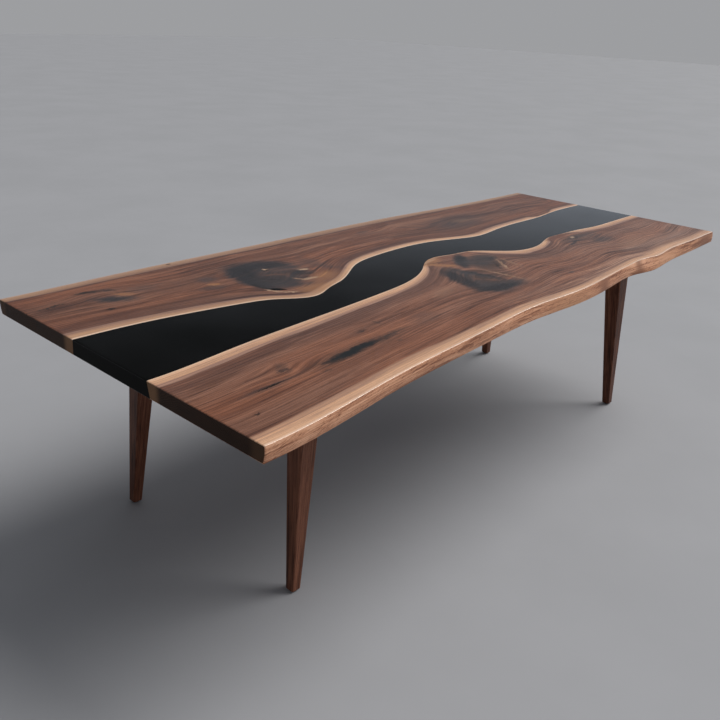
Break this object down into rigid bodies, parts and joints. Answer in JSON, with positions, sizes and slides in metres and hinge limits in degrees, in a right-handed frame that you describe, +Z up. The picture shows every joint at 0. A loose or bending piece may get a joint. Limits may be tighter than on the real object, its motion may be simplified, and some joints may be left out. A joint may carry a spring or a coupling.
{
  "type": "live edge dining table",
  "caption": "Rectangular dining table with a thick live edge walnut top, two slabs joined by a black cast resin river, on splayed square tapered legs.",
  "frame": {"origin": "on the floor, under the middle of the top's outline", "axes": "+X along the table's length, +Y across it towards the back slab, +Z up"},
  "size_m": [2.7, 1.2295, 0.75],
  "materials": {
    "walnut_slab": "oiled satin walnut with pale sapwood at the live edges",
    "walnut_leg": "oiled satin straight-grained walnut",
    "black_resin": "satin black cast resin",
    "black_steel": "black powder coat",
    "zinc_steel": "zinc plated",
    "insert_brass": "machined",
    "glide_nylon": "dark brown nylon"
  },
  "bodies": {
    "root": {"back_slab": "walnut_slab", "front_slab": "walnut_slab", "resin_river": "black_resin", "long_crack_fill": "black_resin", "short_crack_fill": "black_resin", "knot_fill": "black_resin", "leg_front_left": "walnut_leg", "leg_front_right": "walnut_leg", "leg_back_left": "walnut_leg", "leg_back_right": "walnut_leg", "leg_plate_front_left": "black_steel", "leg_plate_front_right": "black_steel", "leg_plate_back_left": "black_steel", "leg_plate_back_right": "black_steel", "channel_left": "black_steel", "channel_middle": "black_steel", "channel_right": "black_steel", "plate_bolts": "zinc_steel", "channel_bolts": "zinc_steel", "channel_washers": "zinc_steel", "leg_screws": "zinc_steel", "glide_pins": "zinc_steel", "plate_inserts": "insert_brass", "channel_inserts": "insert_brass", "foot_glide_front_left": "glide_nylon", "foot_glide_front_right": "glide_nylon", "foot_glide_back_left": "glide_nylon", "foot_glide_back_right": "glide_nylon"}
  },
  "joints": []
}
